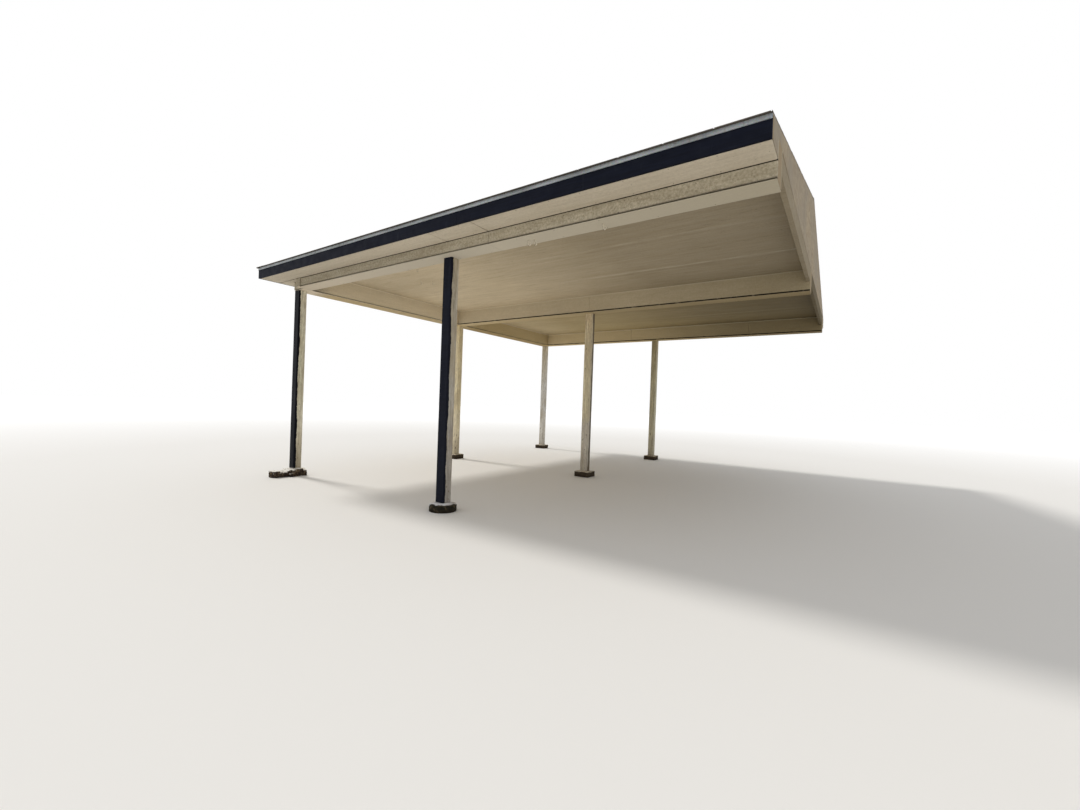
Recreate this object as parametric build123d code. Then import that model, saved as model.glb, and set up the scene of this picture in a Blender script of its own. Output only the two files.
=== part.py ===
from build123d import *
import os
from math import sqrt

# Open carport beside a house, in millimetres.
# X runs along the front, towards the wall of the house. Y runs from front to back. Z is up.
# The origin is on the ground, under the middle of the roof's outline.
# "outer" is the side away from the house and "inner" is the side next to it.

# Roof outline, measured to the outer edges of the roof covering
ROOF_WIDTH = 6099
ROOF_DEPTH = 6694
COVER_LIP = 20
ROOF_PITCH = 0.25

# Heights above the ground
BEAM_BOTTOM = 2494
BEAM_TOP = 2750
SOFFIT_BOTTOM = 2610
FASCIA_TOP = 2737

# Beams: a core of planks, boxed with boards
OVERHANG = 255
BEAM_WIDTH = 193
OUTER_BEAM_WIDTH = 240
MID_BEAM_BEFORE_RIDGE = 31.5
CASING = 19
BOTTOM_BOARD = 6
REVEAL = 8
END_TRIM_WIDTH = 90
END_TRIM = 12

# Posts, which stand a little out of line in both rows along the carport
POST = 107
POST_EDGE = 4
OUTER_POSTS_FROM_BEAM_FACE = {"front": 73, "mid": 133, "back": 78}
INNER_POSTS_FROM_WALL = {"front": 2885, "mid": 2902, "back": 2966}

# Footings
PLATE_WIDTH = 235
PLATE_HEIGHT = 85
PLATE_EDGE = 6
COLLAR_RADIUS = 141
COLLAR_SIDE = 62
COLLAR_HEIGHT = 85
COLLAR_TOP_RADIUS = 82
BLOCK_WIDTH = 228
BLOCK_HEIGHT = 105
KERB_LENGTH = 205
KERB_WIDTH = 186
KERB_HEIGHT = 92
KERB_SHIFT = 14
KERB_BREAK = (21, 0, 41)

# Ceiling, soffit and edge boards
CEILING_BOARD = 10
SOFFIT_BOARD = 10
FASCIA = 19
SUB_FASCIA = 38
DRIP_FACE = 31
DRIP_METAL = 2
DRIP_KICK = 8

# Roof framing
RAFTER_THICKNESS = 38
RAFTER_DEPTH = 89
HIP_DEPTH = 140
RIDGE_DEPTH = 140
RAFTER_SPACING = 610
JOIST_DEPTH = 89
JOIST_CLEAR_OF_HIP = 900
STRUT_WIDTH = 89
LEDGER_THICKNESS = 38
LEDGER_DEPTH = 140
SHEATHING = 12

# Roof covering
DECK = 12
SHINGLES = 10
CAP_WIDTH = 250
CAP_THICKNESS = 8

# Places worked out from the sizes
WALL_X = ROOF_WIDTH / 2
FASCIA_X = -ROOF_WIDTH / 2 + COVER_LIP
FASCIA_Y = -ROOF_DEPTH / 2 + COVER_LIP
ROOF_RISE = -FASCIA_Y * ROOF_PITCH
RIDGE_Z = FASCIA_TOP + ROOF_RISE
APEX_X = FASCIA_X - FASCIA_Y
EAVE_TO_WALL = WALL_X - FASCIA_X

OUTER_BEAM_X = FASCIA_X + OVERHANG
OUTER_BEAM_INSIDE = OUTER_BEAM_X + OUTER_BEAM_WIDTH
FRONT_BEAM_Y = FASCIA_Y + OVERHANG
OUTER_BEAM_END = FRONT_BEAM_Y + BEAM_WIDTH - POST
MID_BEAM_Y = -MID_BEAM_BEFORE_RIDGE - BEAM_WIDTH / 2
BACK_BEAM_Y = -FRONT_BEAM_Y - BEAM_WIDTH
BEAM_LINES = {"front": FRONT_BEAM_Y, "mid": MID_BEAM_Y, "back": BACK_BEAM_Y}

RAFTER_DROP = RAFTER_DEPTH * sqrt(1 + ROOF_PITCH**2)
FAR = 2 * (ROOF_WIDTH + ROOF_DEPTH)


def block(x, y, z):
    """A box from three (low, high) pairs."""
    size = (x[1] - x[0], y[1] - y[0], z[1] - z[0])
    return Pos(x[0], y[0], z[0]) * Box(*size, align=(Align.MIN, Align.MIN, Align.MIN))


def prism_along_x(points, x):
    """A (y, z) outline, extruded between two values of x."""
    outline = Plane.YZ * Polygon(*points, align=None)
    return Pos(x[0], 0, 0) * extrude(outline, x[1] - x[0], dir=(1, 0, 0))


def prism_along_y(points, y):
    """An (x, z) outline, extruded between two values of y."""
    outline = Plane.XZ * Polygon(*points, align=None)
    return Pos(0, y[0], 0) * extrude(outline, y[1] - y[0], dir=(0, 1, 0))


def plan_prism(points):
    """An (x, y) outline, extruded from the ground to well above the roof."""
    return extrude(Polygon(*points, align=None), FAR, dir=(0, 0, 1))


def under_roof(lift, lip=0, floor=BEAM_BOTTOM):
    """The space under the roof planes raised by lift, out to lip beyond the fascia."""
    front, outer = FASCIA_Y - lip, FASCIA_X - lip
    eave, ridge = FASCIA_TOP + lift - lip * ROOF_PITCH, RIDGE_Z + lift
    across = [(front, floor), (-front, floor), (-front, eave), (0, ridge), (front, eave)]
    along = [(outer, floor), (WALL_X, floor), (WALL_X, ridge), (APEX_X, ridge), (outer, eave)]
    return prism_along_x(across, (outer, WALL_X)) & prism_along_y(along, (front, -front))


def slope_plan(side, hip_gap=0, ridge_gap=0, lip=0):
    """The plan of one roof slope, kept off the hip lines and the ridge line by two gaps."""
    hip = hip_gap * sqrt(2)
    if side == "outer":
        edge, tip = FASCIA_X - lip, APEX_X - hip
        half = APEX_X - edge - hip
        return plan_prism([(edge, -half), (tip, 0), (edge, half)])
    turn = 1 if side == "front" else -1
    edge, top = (FASCIA_Y - lip) * turn, -ridge_gap * turn
    low_x = FASCIA_X - lip + hip
    high_x = APEX_X + hip - ridge_gap
    return plan_prism([(low_x, edge), (WALL_X, edge), (WALL_X, top), (high_x, top)])


SIDES = ("front", "outer", "back")


def roof_layers(bottom, thickness, lip):
    """One layer of the roof, as a slab for each slope that meets its neighbours at the hips."""
    layer = under_roof(bottom + thickness, lip) - under_roof(bottom, lip)
    return {side: layer & slope_plan(side, lip=lip) for side in SIDES}


def rafter_lines():
    """The x of each pair of rafters, spaced from the wall towards the outer eave."""
    count = int((EAVE_TO_WALL - SUB_FASCIA - FASCIA) // RAFTER_SPACING)
    return [WALL_X - SHEATHING - RAFTER_THICKNESS - i * RAFTER_SPACING for i in range(count + 1)]


def outer_rafter_lines():
    """The y of each rafter of the outer slope: one on the middle line and the rest beside it."""
    count = int(-FASCIA_Y // RAFTER_SPACING)
    return [i * RAFTER_SPACING - RAFTER_THICKNESS / 2 for i in range(-count, count + 1)]


def between_beams(top):
    """The whole space inside the outline of the beams, up to a given height."""
    return block((OUTER_BEAM_X, WALL_X), (FRONT_BEAM_Y, -FRONT_BEAM_Y), (0, top))


def make_beams():
    """The planks of the three beams across the carport and of the two along its outer side."""
    height = (BEAM_BOTTOM + BOTTOM_BOARD, BEAM_TOP)
    beams = {}
    for name, y in BEAM_LINES.items():
        start = OUTER_BEAM_INSIDE if name == "front" else OUTER_BEAM_X
        depth = (y + CASING, y + BEAM_WIDTH - CASING)
        beams[f"beam_{name}"] = block((start + CASING, WALL_X), depth, height)
    width = (OUTER_BEAM_X + CASING, OUTER_BEAM_INSIDE - CASING)
    spans = [(OUTER_BEAM_END, MID_BEAM_Y), (MID_BEAM_Y + BEAM_WIDTH - 2 * CASING, BACK_BEAM_Y)]
    beams["beam_outer"] = Compound(children=[
        block(width, (near + CASING, far + CASING), height) for near, far in spans
    ])
    return beams


def make_casings():
    """The boards that box each beam: two faces and, below a dark gap, the bottom board."""
    faces = (BEAM_BOTTOM + BOTTOM_BOARD + REVEAL, BEAM_TOP)
    under = (BEAM_BOTTOM, BEAM_BOTTOM + BOTTOM_BOARD)
    casings = {}
    inside = (OUTER_BEAM_INSIDE, WALL_X)
    whole = (OUTER_BEAM_X, WALL_X)
    for name, y in BEAM_LINES.items():
        boards = [
            block(inside, (y, y + CASING), faces),
            block(whole if name == "back" else inside, (y + BEAM_WIDTH - CASING, y + BEAM_WIDTH), faces),
            block(inside if name == "front" else whole, (y, y + BEAM_WIDTH), under),
        ]
        if name == "front":
            boards += make_front_beam_end(y, faces)
        casings[f"casing_{name}"] = Compound(children=boards)
    return casings | {"casing_outer": make_outer_casing(faces, under)}


def make_front_beam_end(y, faces):
    """The board that closes the free end of the front beam, and the trim over the end of its face."""
    end = OUTER_BEAM_INSIDE
    closing = block((end, end + CASING), (y + CASING, y + BEAM_WIDTH - CASING), faces)
    trim = block((end, end + END_TRIM_WIDTH), (y - END_TRIM, y), (BEAM_BOTTOM, SOFFIT_BOTTOM))
    return [closing, trim]


def make_outer_casing(faces, under):
    """The boards of the outer beams, which run from the front posts over the mid beam to the back."""
    outside = (OUTER_BEAM_X, OUTER_BEAM_X + CASING)
    inside = (OUTER_BEAM_INSIDE - CASING, OUTER_BEAM_INSIDE)
    between = (OUTER_BEAM_X + CASING, OUTER_BEAM_INSIDE - CASING)
    boards = [
        block(outside, (OUTER_BEAM_END, -FRONT_BEAM_Y - CASING), faces),
        block(between, (OUTER_BEAM_END, OUTER_BEAM_END + CASING), faces),
    ]
    for bay in ((OUTER_BEAM_END, MID_BEAM_Y), (MID_BEAM_Y + BEAM_WIDTH, BACK_BEAM_Y)):
        boards.append(block(inside, bay, faces))
        boards.append(block((OUTER_BEAM_X, OUTER_BEAM_INSIDE), bay, under))
    return Compound(children=boards)


def make_post(x, y, foot):
    """A square post with eased edges."""
    post = block((x - POST / 2, x + POST / 2), (y, y + POST), (foot, BEAM_BOTTOM))
    return chamfer(post.edges().filter_by(Axis.Z), POST_EDGE)


def make_plate(x, y):
    """A small square pad of concrete with worn upper edges."""
    half = PLATE_WIDTH / 2
    plate = block((x - half, x + half), (y - half, y + half), (0, PLATE_HEIGHT))
    return chamfer(plate.faces().sort_by(Axis.Z)[-1].edges(), PLATE_EDGE)


def make_collar(x, y):
    """A round collar of concrete, cast with a top that slopes away from the post."""
    outline = Plane.XZ * Polygon(
        (0, 0), (COLLAR_RADIUS, 0), (COLLAR_RADIUS, COLLAR_SIDE),
        (COLLAR_TOP_RADIUS, COLLAR_HEIGHT), (0, COLLAR_HEIGHT), align=None,
    )
    return Pos(x, y, 0) * revolve(outline, Axis.Z)


def make_kerb_block(x, y):
    """A concrete block under the post, with a broken length of kerb left in front of it."""
    half = BLOCK_WIDTH / 2
    pad = block((x - half, x + half), (y - half, y + half), (0, BLOCK_HEIGHT))
    pad = chamfer(pad.faces().sort_by(Axis.Z)[-1].edges(), PLATE_EDGE)
    front = y - half
    middle = x - KERB_SHIFT
    left, right = middle - KERB_WIDTH / 2, middle + KERB_WIDTH / 2
    broken = [front - KERB_LENGTH + bite for bite in KERB_BREAK]
    outline = [
        (left, front), (left + PLATE_EDGE, broken[0]), (middle, broken[1]),
        (right - PLATE_EDGE, broken[2]), (right, front),
    ]
    kerb = extrude(Polygon(*outline, align=None), KERB_HEIGHT, dir=(0, 0, 1))
    kerb = chamfer(kerb.faces().sort_by(Axis.Z)[-1].edges(), PLATE_EDGE)
    return pad + kerb


def make_posts_and_footings():
    """Six posts, each with its back face in line with the beam it carries, and their footings."""
    pieces = {}
    for row, line in BEAM_LINES.items():
        post_y = line + BEAM_WIDTH - POST
        middle = post_y + POST / 2
        columns = {
            "outer": OUTER_BEAM_X + OUTER_POSTS_FROM_BEAM_FACE[row],
            "inner": WALL_X - INNER_POSTS_FROM_WALL[row],
        }
        for column, x in columns.items():
            name = f"{row}_{column}"
            if name == "front_outer":
                footing, foot = make_kerb_block(x, middle), BLOCK_HEIGHT
            elif name == "front_inner":
                footing, foot = make_collar(x, middle), COLLAR_HEIGHT
            else:
                footing, foot = make_plate(x, middle), PLATE_HEIGHT
            pieces[f"footing_{name}"] = footing
            pieces[f"post_{name}"] = make_post(x, post_y, foot)
    return pieces


def ring(outer_edge, inner_edge, z):
    """A flat band around the three free sides, between two distances from the fascia's face."""
    def area(inset):
        return block((FASCIA_X + inset, WALL_X), (FASCIA_Y + inset, -FASCIA_Y - inset), z)
    return area(outer_edge) - area(inner_edge)


def side_zone(side):
    """The part of the plan that belongs to one side, mitred at both corners."""
    return slope_plan(side, lip=COVER_LIP)


def make_edges():
    """Fascia and soffit boards for each free side, the timber behind them and the metal edge."""
    fascia = ring(0, FASCIA, (SOFFIT_BOTTOM, FASCIA_TOP)) & under_roof(0)
    pieces = {f"fascia_{side}": fascia & side_zone(side) for side in SIDES}
    pieces |= make_soffits()
    timber = (SOFFIT_BOTTOM + SOFFIT_BOARD, FASCIA_TOP + FASCIA)
    pieces["sub_fascia"] = ring(FASCIA, FASCIA + SUB_FASCIA, timber) & under_roof(0)
    pieces["drip_edge"] = make_drip_edge()
    return pieces


def make_soffits():
    """Flat boards between the fascia and the beams, mitred at the two outer corners."""
    level = (SOFFIT_BOTTOM, SOFFIT_BOTTOM + SOFFIT_BOARD)
    corner_x, corner_y = FASCIA_X + FASCIA, FASCIA_Y + FASCIA
    band = block((corner_x, WALL_X), (corner_y, -corner_y), level)
    band -= block((OUTER_BEAM_X, WALL_X), (OUTER_BEAM_END, -FRONT_BEAM_Y), level)
    band -= block((OUTER_BEAM_INSIDE, WALL_X), (FRONT_BEAM_Y, -FRONT_BEAM_Y), level)
    zone = plan_prism([
        (corner_x, corner_y), (OUTER_BEAM_X, FRONT_BEAM_Y),
        (OUTER_BEAM_X, -FRONT_BEAM_Y), (corner_x, -corner_y),
    ])
    rest = band - zone
    front_half = block((FASCIA_X, WALL_X), (FASCIA_Y, 0), level)
    return {"soffit_outer": band & zone, "soffit_front": rest & front_half, "soffit_back": rest - front_half}


def make_drip_edge():
    """Bent metal: a face below the roof covering and a flange that lies on the deck."""
    top = FASCIA_TOP + DECK
    face = ring(-DRIP_METAL, 0, (top - DRIP_FACE, top)) & under_roof(DECK, COVER_LIP)
    kick = ring(-DRIP_KICK, 0, (top - DRIP_FACE, top - DRIP_FACE + DRIP_METAL))
    return face + kick


def make_roof():
    """Deck panels, shingles and the caps over the hips and the ridge."""
    pieces = {f"roof_deck_{side}": slab for side, slab in roof_layers(0, DECK, 0).items()}
    covering = roof_layers(DECK, SHINGLES, COVER_LIP)
    pieces |= {f"shingles_{side}": slab for side, slab in covering.items()}
    top = DECK + SHINGLES
    cap = under_roof(top + CAP_THICKNESS, COVER_LIP) - under_roof(top, COVER_LIP)
    half = CAP_WIDTH / 2
    strips = block((APEX_X, WALL_X), (-half, half), (0, FAR))
    corner = (FASCIA_X - COVER_LIP, FASCIA_Y - COVER_LIP)
    for turn in (1, -1):
        strips += hip_strip((corner[0], corner[1] * turn), half)
    pieces["hip_and_ridge_caps"] = cap & strips
    return pieces


def hip_strip(corner, half, start=0):
    """A straight band in plan along one hip line, from the eave to the end of the ridge."""
    side = half / sqrt(2)
    turn = 1 if corner[1] < 0 else -1
    low = (corner[0] + start, corner[1] + start * turn)
    return plan_prism([
        (low[0] - side, low[1] + side * turn), (low[0] + side, low[1] - side * turn),
        (APEX_X + side, -side * turn), (APEX_X - side, side * turn),
    ])


def make_framing():
    """Rafters, hips, ridge board, struts and ceiling joists inside the roof."""
    inset = FASCIA + SUB_FASCIA
    half = RAFTER_THICKNESS / 2
    tall = (SOFFIT_BOTTOM + SOFFIT_BOARD, FAR)
    room = block((FASCIA_X + inset, WALL_X), (FASCIA_Y + inset, -FASCIA_Y - inset), tall)
    attic = (under_roof(0) & room) - between_beams(BEAM_TOP)
    rafter_zone = attic - under_roof(-RAFTER_DROP)
    across = [block((x, x + RAFTER_THICKNESS), (-FAR, FAR), tall) for x in rafter_lines()]
    along = [block((-FAR, FAR), (y, y + RAFTER_THICKNESS), tall) for y in outer_rafter_lines()]
    timbers = []
    for side in SIDES:
        zone = rafter_zone & slope_plan(side, hip_gap=half, ridge_gap=half)
        for line in along if side == "outer" else across:
            timbers += (zone & line).solids()
    corner = (FASCIA_X, FASCIA_Y)
    hip_zone = attic - under_roof(-HIP_DEPTH)
    hips = []
    for turn in (1, -1):
        own_side = block((-FAR, FAR), (-FAR, 0) if turn == 1 else (0, FAR), tall)
        hips.append(hip_zone & hip_strip((corner[0], corner[1] * turn), half, inset) & own_side)
    return {
        "rafters": Compound(children=timbers),
        "hip_rafters": hips[0] + hips[1],
        "ridge_board": make_ridge_board(attic) - hips[0] - hips[1],
        "ridge_struts": make_struts(),
        "ceiling_joists": make_joists(attic),
    }


def make_ridge_board(attic):
    """The board between the heads of the rafters, bevelled to both slopes."""
    half = RAFTER_THICKNESS / 2
    return attic & block((APEX_X, WALL_X - SHEATHING), (-half, half), (RIDGE_Z - RIDGE_DEPTH, FAR))


def make_struts():
    """Upright struts that stand on the middle beam and carry the ridge board."""
    height = (BEAM_TOP, RIDGE_Z - RIDGE_DEPTH)
    depth = (-STRUT_WIDTH / 2, STRUT_WIDTH / 2)
    places = [x + RAFTER_SPACING / 2 for x in rafter_lines()[1:] if x > APEX_X]
    return Compound(children=[block((x, x + RAFTER_THICKNESS), depth, height) for x in places])


def make_joists(attic):
    """Ceiling joists beside the rafters, each lying on all three beams."""
    height = (BEAM_TOP, BEAM_TOP + JOIST_DEPTH)
    joists = []
    for x in rafter_lines():
        if x - FASCIA_X > JOIST_CLEAR_OF_HIP:
            line = block((x - RAFTER_THICKNESS, x), (FRONT_BEAM_Y, -FRONT_BEAM_Y), height)
            joists += (attic & line).solids()
    return Compound(children=joists)


def make_ceilings():
    """The flat ceiling of each bay, set up between the boards of the beams."""
    level = (BEAM_TOP - CEILING_BOARD, BEAM_TOP)
    width = (OUTER_BEAM_INSIDE, WALL_X)
    return {
        "ceiling_front": block(width, (FRONT_BEAM_Y + BEAM_WIDTH, MID_BEAM_Y), level),
        "ceiling_back": block(width, (MID_BEAM_Y + BEAM_WIDTH, BACK_BEAM_Y), level),
    }


def make_house_end():
    """The ledger that is bolted to the wall below the ceiling and the board that closes the roof."""
    top = BEAM_TOP - CEILING_BOARD
    bays = [(FRONT_BEAM_Y + BEAM_WIDTH, MID_BEAM_Y), (MID_BEAM_Y + BEAM_WIDTH, BACK_BEAM_Y)]
    width = (WALL_X - LEDGER_THICKNESS, WALL_X)
    ledgers = [block(width, bay, (top - LEDGER_DEPTH, top)) for bay in bays]
    inset = FASCIA + SUB_FASCIA
    closing = (FASCIA_Y + inset, -FASCIA_Y - inset)
    board = block((WALL_X - SHEATHING, WALL_X), closing, (SOFFIT_BOTTOM + SOFFIT_BOARD, FAR))
    board = (board & under_roof(0)) - between_beams(BEAM_TOP)
    return {"wall_ledger": Compound(children=ledgers), "end_sheathing": board}


def make_carport():
    """Every piece of the carport, by name."""
    return (
        make_posts_and_footings() | make_beams() | make_casings() | make_ceilings()
        | make_edges() | make_framing() | make_house_end() | make_roof()
    )


os.makedirs("parts", exist_ok=True)
for node, piece in make_carport().items():
    export_step(piece, f"parts/{node}.step")
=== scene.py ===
import math
import random

import bmesh
import bpy
from mathutils import Matrix, Vector, noise


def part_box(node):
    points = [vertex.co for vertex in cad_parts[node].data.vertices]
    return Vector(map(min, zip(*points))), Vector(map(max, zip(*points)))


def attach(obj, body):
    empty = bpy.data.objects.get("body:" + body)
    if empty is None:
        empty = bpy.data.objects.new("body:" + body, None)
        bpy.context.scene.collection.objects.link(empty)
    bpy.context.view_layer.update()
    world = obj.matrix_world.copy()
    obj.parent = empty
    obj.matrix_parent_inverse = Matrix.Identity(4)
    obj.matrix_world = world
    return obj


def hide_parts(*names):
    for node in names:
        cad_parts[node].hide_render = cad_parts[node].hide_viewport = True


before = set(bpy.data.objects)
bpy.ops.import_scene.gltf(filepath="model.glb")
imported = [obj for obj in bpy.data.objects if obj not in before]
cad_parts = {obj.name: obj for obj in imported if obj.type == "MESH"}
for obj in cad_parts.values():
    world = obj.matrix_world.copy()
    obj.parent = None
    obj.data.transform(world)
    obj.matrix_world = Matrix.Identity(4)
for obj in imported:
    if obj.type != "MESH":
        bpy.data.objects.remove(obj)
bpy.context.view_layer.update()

# Places of the part that the looks follow, in metres
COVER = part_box("shingles_outer")
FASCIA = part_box("fascia_front")
WALL_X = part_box("end_sheathing")[1].x
EAVE_X, EAVE_Y = COVER[0].x, COVER[0].y
SHINGLE_BED = 0.010
RUN = -EAVE_Y
PITCH = (COVER[1].z - COVER[0].z - SHINGLE_BED) / RUN
APEX_X = EAVE_X + RUN
EAVE_Z = COVER[0].z
BEAM_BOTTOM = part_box("casing_front")[0].z
BEAM_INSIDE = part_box("ceiling_front")[0]
BEAM_SIDE_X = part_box("casing_outer")[0].x
BEAM_FACE_Y = -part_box("casing_back")[1].y
BOTTOM_BOARD = 0.006
REVEAL = 0.008
FACE_BOTTOM = BEAM_BOTTOM + BOTTOM_BOARD + REVEAL
POST_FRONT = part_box("post_front_inner")[0]
CEILING_Z = BEAM_INSIDE.z
SOFFIT_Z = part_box("soffit_front")[0].z

# Lengthwise seams of the ceiling boards
CEILING_SEAMS = {"front": (-1.88, -0.94), "back": (1.03, 1.98)}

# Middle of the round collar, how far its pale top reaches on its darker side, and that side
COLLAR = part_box("footing_front_inner")
COLLAR_PALE = ((COLLAR[0] + COLLAR[1]) / 2, 0.105)
DARKER_TOP_SIDE = (0.72, -0.69)

# The photograph's camera: its place beyond the closed end and the fascia, and its lens
EYE_FROM_WALL = 0.385
EYE_BEFORE_FASCIA = 2.731
EYE_HEIGHT = 1.099
YAW = math.radians(34.458)
PITCH_DOWN = math.radians(0.2515)
ROLL = math.radians(2.0725)
FOCAL_PX = 446
PHOTO_WIDTH = 1080
SENSOR = 36

# The floor, which fades to white between two distances, and the light
FLOOR = (0.86, 0.85, 0.83, 1)
FLOOR_SIZE = 120
FLOOR_FADE = (8, 22)
WORLD_LIGHT = 0.6
SUN_DIRECTION = Vector((-0.62, -0.02, 0.78))
SUN_STRENGTH = 1.5
SUN_ANGLE = math.radians(9)
SUN_COLOUR = (1.0, 0.97, 0.92)


def srgb(red, green, blue):
    """A display colour from 0 to 255, as the linear colour that a shader takes."""
    def linear(value):
        value /= 255
        return value / 12.92 if value <= 0.04045 else ((value + 0.055) / 1.055) ** 2.4
    return (linear(red), linear(green), linear(blue), 1)


def grey(value):
    return srgb(value, value, value)


class Look:
    """A material made of nodes, with a short call for each kind of node that is used."""

    def __init__(self, name, roughness=0.6, metallic=0.0, specular=0.5):
        self.material = bpy.data.materials.new(name)
        self.material.use_nodes = True
        self.tree = self.material.node_tree
        self.shader = self.tree.nodes["Principled BSDF"]
        self.shader.inputs["Roughness"].default_value = roughness
        self.shader.inputs["Metallic"].default_value = metallic
        self.shader.inputs["Specular IOR Level"].default_value = specular
        self.place = self.add("ShaderNodeTexCoord").outputs["Object"]
        axes = self.add("ShaderNodeSeparateXYZ", {0: self.place})
        self.x, self.y, self.z = axes.outputs

    def add(self, kind, inputs=None, **settings):
        node = self.tree.nodes.new(kind)
        for name, value in settings.items():
            setattr(node, name, value)
        for name, value in (inputs or {}).items():
            if isinstance(value, bpy.types.NodeSocket):
                self.tree.links.new(value, node.inputs[name])
            else:
                node.inputs[name].default_value = value
        return node

    def math(self, operation, a, b=0.0):
        return self.add("ShaderNodeMath", {0: a, 1: b}, operation=operation).outputs[0]

    def plus(self, a, b):
        return self.math("ADD", a, b)

    def minus(self, a, b):
        return self.math("SUBTRACT", a, b)

    def times(self, a, b):
        return self.math("MULTIPLY", a, b)

    def stretched(self, stretch, shift=0.0):
        scaled = {0: self.place, 1: stretch, 2: (shift, shift, shift)}
        return self.add("ShaderNodeVectorMath", scaled, operation="MULTIPLY_ADD").outputs[0]

    def noise(self, scale, detail=4, stretch=(1, 1, 1), roughness=0.55, shift=0.0, warp=0.0):
        values = {
            "Vector": self.stretched(stretch, shift), "Scale": scale, "Detail": detail,
            "Roughness": roughness, "Distortion": warp,
        }
        return self.add("ShaderNodeTexNoise", values).outputs["Fac"]

    def cells(self, scale, stretch=(1, 1, 1), feature="F1", output="Distance"):
        values = {"Vector": self.stretched(stretch), "Scale": scale}
        return self.add("ShaderNodeTexVoronoi", values, feature=feature).outputs[output]

    def span(self, value, low, high, to_low=0.0, to_high=1.0):
        values = {
            "Value": value, "From Min": low, "From Max": high, "To Min": to_low, "To Max": to_high,
        }
        return self.add("ShaderNodeMapRange", values).outputs[0]

    def mix(self, factor, a, b, blend="MIX"):
        node = self.add("ShaderNodeMix", data_type="RGBA", blend_type=blend)
        for socket, value in zip((node.inputs[0], node.inputs[6], node.inputs[7]), (factor, a, b)):
            if isinstance(value, bpy.types.NodeSocket):
                self.tree.links.new(value, socket)
            else:
                socket.default_value = value
        return node.outputs[2]

    def attribute(self, name):
        return self.add("ShaderNodeAttribute", attribute_name=name).outputs["Fac"]

    def normal(self):
        """The x, y and z of the direction that the surface faces."""
        geometry = self.add("ShaderNodeNewGeometry")
        return self.add("ShaderNodeSeparateXYZ", {0: geometry.outputs["Normal"]}).outputs

    def near(self, coordinate, place, width):
        """1 at a plane across an axis, falling to 0 at the given distance from it."""
        distance = self.math("ABSOLUTE", self.minus(coordinate, place))
        return self.span(distance, width, 0.0)

    def finish(self, colour, roughness=None, height=None, strength=0.5, distance=0.002):
        links = self.tree.links
        links.new(colour, self.shader.inputs["Base Color"])
        if roughness is not None:
            links.new(roughness, self.shader.inputs["Roughness"])
        if height is not None:
            values = {"Height": height, "Strength": strength, "Distance": distance}
            bump = self.add("ShaderNodeBump", values)
            links.new(bump.outputs[0], self.shader.inputs["Normal"])
        return self.material


def grain(look, along):
    """Long fibres of wood along one axis, as a value about a half."""
    squeeze = {"x": (0.06, 1, 1), "y": (1, 0.06, 1), "z": (1, 1, 0.06)}[along]
    coarse = look.noise(30, 3, squeeze, 0.6)
    fine = look.noise(140, 3, squeeze, 0.7, shift=4)
    return look.plus(look.times(coarse, 0.6), look.times(fine, 0.4))


def shade_line(look, coordinate, place, width, seed):
    """A broken dark line along one corner: painted shade of an open joint, with some dirt."""
    line = look.near(coordinate, place, width)
    broken = look.span(look.noise(11, 4, (1, 1, 1), 0.7, shift=seed), 0.34, 0.48, 0.45, 1)
    return look.times(look.math("MINIMUM", look.times(line, 2.5), 1.0), broken)


def lighter(colour):
    return tuple(min(1, 1.25 * value) for value in colour[:3]) + (1,)


def painted_boards(name, base, along, dirt, rough_boards=0.5, streaky=1.0, seed=0.0):
    """Old paint over boards: faint grain, brush marks, streaks, dirt and bare flecks."""
    look = Look(name, roughness=0.8, specular=0.12)
    fibres = grain(look, along)
    squeeze = {"x": (0.12, 1, 1), "y": (1, 0.12, 1), "z": (1, 1, 0.12)}[along]
    streaks = look.noise(9, 5, squeeze, 0.65, shift=seed)
    patches = look.noise(1.3, 4, shift=seed + 7)
    colour = look.mix(look.span(streaks, 0.35, 0.7, 0.3 * (1 - streaky), 0.7 * streaky), base, dirt)
    colour = look.mix(look.span(patches, 0.42, 0.68, 0, 0.4), colour, dirt)
    colour = look.mix(look.span(fibres, 0.3, 0.7, 0.0, 0.35), colour, dirt, "MULTIPLY")
    strokes = look.noise(26, 6, squeeze, 0.8, shift=seed + 2)
    colour = look.mix(look.span(strokes, 0.52, 0.66, 0, 0.4 * streaky), colour, lighter(base))
    colour = look.mix(look.span(strokes, 0.46, 0.34, 0, 0.45 * streaky), colour, srgb(132, 116, 88))
    mottle = look.noise(58, 5, (1, 1, 1), 0.8, shift=seed + 5)
    mottled = look.span(mottle, 0.38, 0.64, 0, 0.6 * rough_boards)
    colour = look.mix(mottled, colour, srgb(116, 106, 84))
    speck = look.noise(60, 2, shift=seed + 11)
    colour = look.mix(look.span(speck, 0.72, 0.78, 0, 0.8), colour, srgb(74, 62, 46))
    roughness = look.span(streaks, 0.3, 0.7, 0.72, 0.88)
    height = look.plus(fibres, look.times(look.noise(55, 4, shift=seed), rough_boards))
    return look, colour, roughness, height


def deepen(look, colour, factor, shade):
    """Darkens a colour by a shade, as far as the factor says."""
    return look.mix(factor, colour, shade, "MULTIPLY")


def shade_towards_wall(look, colour):
    """Painted shade: darker towards the closed end, in the back bay and at the open front corner."""
    colour = deepen(look, colour, look.span(look.x, -0.7, 1.3), srgb(206, 205, 203))
    colour = deepen(look, colour, look.span(look.x, 1.0, WALL_X), grey(220))
    back_bay = look.span(look.y, -0.05, 0.12)
    back_bay_shade = look.times(back_bay, look.span(look.x, -2.6, -1.2, 0.5, 1))
    colour = deepen(look, colour, back_bay_shade, srgb(204, 198, 174))
    far_corner = look.times(back_bay, look.span(look.x, 0.3, WALL_X))
    colour = deepen(look, colour, far_corner, grey(219))
    open_corner = look.times(look.span(look.y, -1.0, -1.8), look.span(look.x, -0.8, -2.0))
    return deepen(look, colour, open_corner, grey(236))


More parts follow.
